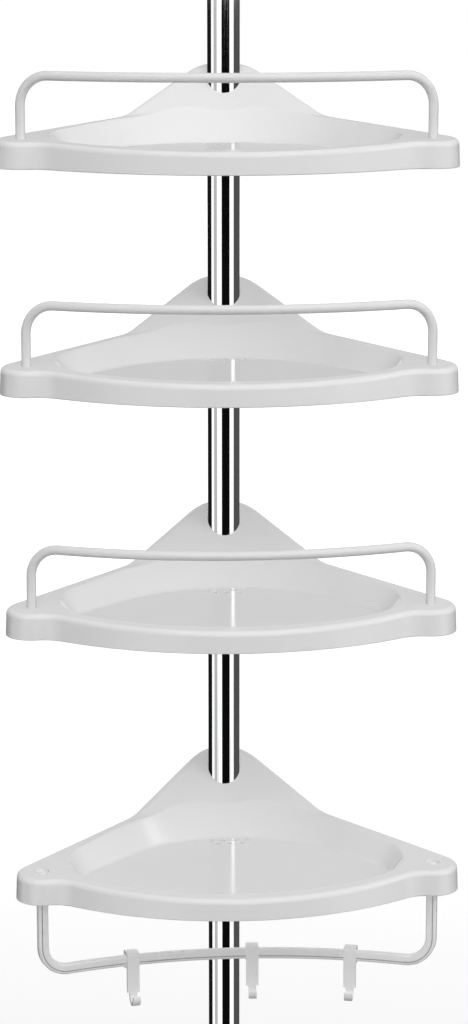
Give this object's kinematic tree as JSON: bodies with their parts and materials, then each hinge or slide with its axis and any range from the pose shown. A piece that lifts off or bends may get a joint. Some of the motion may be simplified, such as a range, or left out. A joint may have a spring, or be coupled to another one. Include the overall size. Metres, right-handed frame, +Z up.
{
  "type": "tension pole shelf unit",
  "caption": "Corner shower caddy: moulded quarter-round trays slide and swivel on a sprung telescopic tension pole, with guard rails, a towel bar and clip-on hooks.",
  "frame": {"origin": "on the pole's axis at the underside of the floor pad", "axes": "+Z up along the pole, +Y towards the wall corner, -Y the open front, +X to the right seen from the front"},
  "size_m": [0.3418, 0.2453, 1.535],
  "materials": {
    "chrome_tube": "mirror polished",
    "tray_plastic": "white moulded, semi-gloss",
    "rail_plastic": "white, smooth",
    "bar_plastic": "white, smooth",
    "hook_plastic": "white, satin",
    "clip_plastic": "white, satin",
    "fitting_plastic": "white, satin",
    "pad_rubber": "soft grey, matte",
    "coupler_steel": "plain drawn",
    "spring_steel": "plain drawn"
  },
  "bodies": {
    "pole": {"foot_pad": "pad_rubber", "foot_cup": "fitting_plastic", "lower_tube": "chrome_tube", "tube_coupler": "coupler_steel", "upper_tube": "chrome_tube", "lock_body": "fitting_plastic"},
    "lock_nut": {"lock_nut": "fitting_plastic"},
    "extension": {"extension_tube": "chrome_tube", "extension_bush": "fitting_plastic", "spring_seat": "fitting_plastic", "tension_spring": "spring_steel"},
    "ceiling_head": {"plunger": "fitting_plastic", "ceiling_cup": "fitting_plastic", "ceiling_pad": "pad_rubber"},
    "tier_1_clip": {"clip_1_front": "clip_plastic", "clip_1_rear": "clip_plastic"},
    "tier_1": {"tray_1": "tray_plastic", "rail_1": "rail_plastic"},
    "tier_2_clip": {"clip_2_front": "clip_plastic", "clip_2_rear": "clip_plastic"},
    "tier_2": {"tray_2": "tray_plastic", "rail_2": "rail_plastic"},
    "tier_3_clip": {"clip_3_front": "clip_plastic", "clip_3_rear": "clip_plastic"},
    "tier_3": {"tray_3": "tray_plastic", "rail_3": "rail_plastic"},
    "tier_4_clip": {"clip_4_front": "clip_plastic", "clip_4_rear": "clip_plastic"},
    "tier_4": {"tray_4": "tray_plastic", "towel_bar": "bar_plastic"},
    "hook_1": {"hook_1": "hook_plastic"},
    "hook_2": {"hook_2": "hook_plastic"},
    "hook_3": {"hook_3": "hook_plastic"}
  },
  "joints": [
    {"name": "lock_twist", "type": "hinge", "parent": "pole", "child": "lock_nut", "pos_m": [0, 0, 1.407], "axis": [0, 0, 1], "range_deg": [0, 180]},
    {"name": "pole_extension", "type": "slide", "parent": "pole", "child": "extension", "axis": [0, 0, 1], "range_m": [0, 0.68]},
    {"name": "ceiling_spring", "type": "slide", "parent": "extension", "child": "ceiling_head", "axis": [0, 0, 1], "range_m": [-0.03, 0], "stiffness_N_per_m": 4000, "springref_m": 0.01, "deforming": ["tension_spring"]},
    {"name": "tier_1_height", "type": "slide", "parent": "pole", "child": "tier_1_clip", "axis": [0, 0, 1], "range_m": [-0.042, 0.185]},
    {"name": "tier_1_swivel", "type": "hinge", "parent": "tier_1_clip", "child": "tier_1", "pos_m": [0, 0, 1.147], "axis": [0, 0, 1], "continuous": true},
    {"name": "tier_2_height", "type": "slide", "parent": "pole", "child": "tier_2_clip", "axis": [0, 0, 1], "range_m": [-0.05, 0.042]},
    {"name": "tier_2_swivel", "type": "hinge", "parent": "tier_2_clip", "child": "tier_2", "pos_m": [0, 0, 0.983], "axis": [0, 0, 1], "continuous": true},
    {"name": "tier_3_height", "type": "slide", "parent": "pole", "child": "tier_3_clip", "axis": [0, 0, 1], "range_m": [-0.08, 0.05]},
    {"name": "tier_3_swivel", "type": "hinge", "parent": "tier_3_clip", "child": "tier_3", "pos_m": [0, 0, 0.803], "axis": [0, 0, 1], "continuous": true},
    {"name": "tier_4_height", "type": "slide", "parent": "pole", "child": "tier_4_clip", "axis": [0, 0, 1], "range_m": [-0.38, 0.05]},
    {"name": "tier_4_swivel", "type": "hinge", "parent": "tier_4_clip", "child": "tier_4", "pos_m": [0, 0, 0.6], "axis": [0, 0, 1], "continuous": true},
    {"name": "hook_1_along_bar", "type": "hinge", "parent": "tier_4", "child": "hook_1", "pos_m": [0.01567, -0.49853, 0.52], "axis": [0, 0, -1], "range_deg": [-5.84, 5.87]},
    {"name": "hook_2_along_bar", "type": "hinge", "parent": "tier_4", "child": "hook_2", "pos_m": [0.01567, -0.49853, 0.52], "axis": [0, 0, -1], "range_deg": [-5.64, 5.66]},
    {"name": "hook_3_along_bar", "type": "hinge", "parent": "tier_4", "child": "hook_3", "pos_m": [0.01567, -0.49853, 0.52], "axis": [0, 0, -1], "range_deg": [-3.73, 4.59]}
  ]
}
